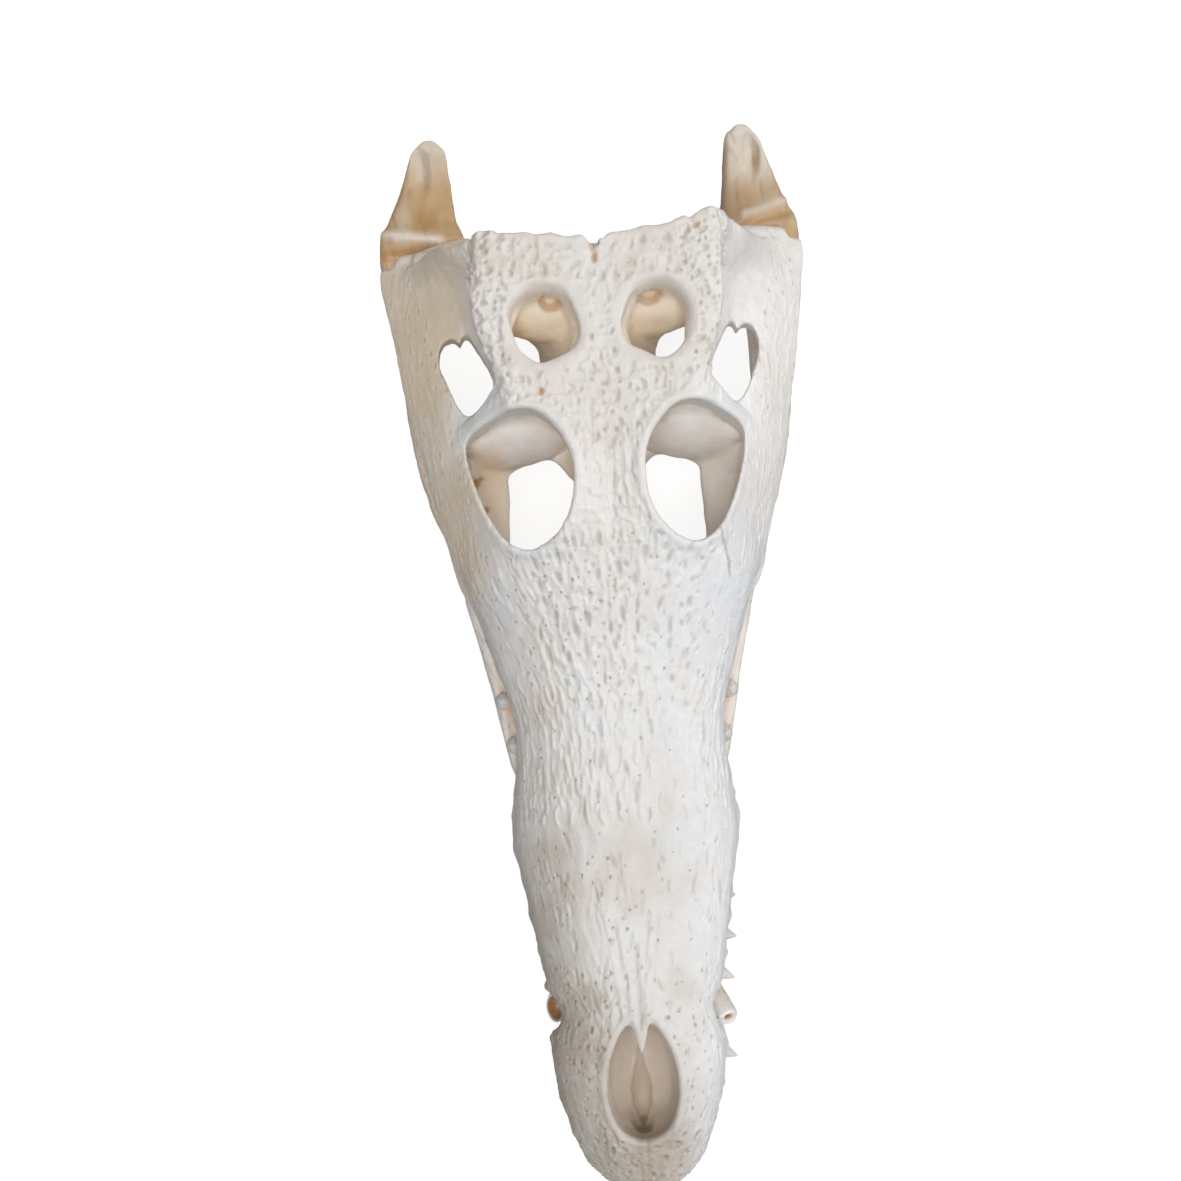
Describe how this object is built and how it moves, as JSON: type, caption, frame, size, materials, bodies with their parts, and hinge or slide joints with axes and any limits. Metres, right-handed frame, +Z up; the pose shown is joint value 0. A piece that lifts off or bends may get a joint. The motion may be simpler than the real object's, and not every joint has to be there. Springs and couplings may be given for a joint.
{
  "type": "crocodile skull",
  "caption": "Whitened crocodile skull with its lower jaw, jaws closed, lying level on the lower jaw: long snout, open nostril, eye sockets and cheek openings.",
  "frame": {"origin": "centre of the bounding box's base, on the surface that the lower jaw lies on", "axes": "+Z up; +Y from the snout's tip towards the back of the head; +X towards the animal's left"},
  "size_m": [0.174, 0.4248, 0.1107],
  "materials": {
    "cranium_bone": "dry whitened bone, matt, off-white with tan in its hollows",
    "jaw_bone": "dry bone, matt, cream to tan at the heels of the jaw",
    "tooth": "ivory enamel, slightly glossy, browner at the root"
  },
  "bodies": {
    "root": {"cranium": "cranium_bone", "mandible_left": "jaw_bone", "mandible_right": "jaw_bone"}
  },
  "joints": []
}
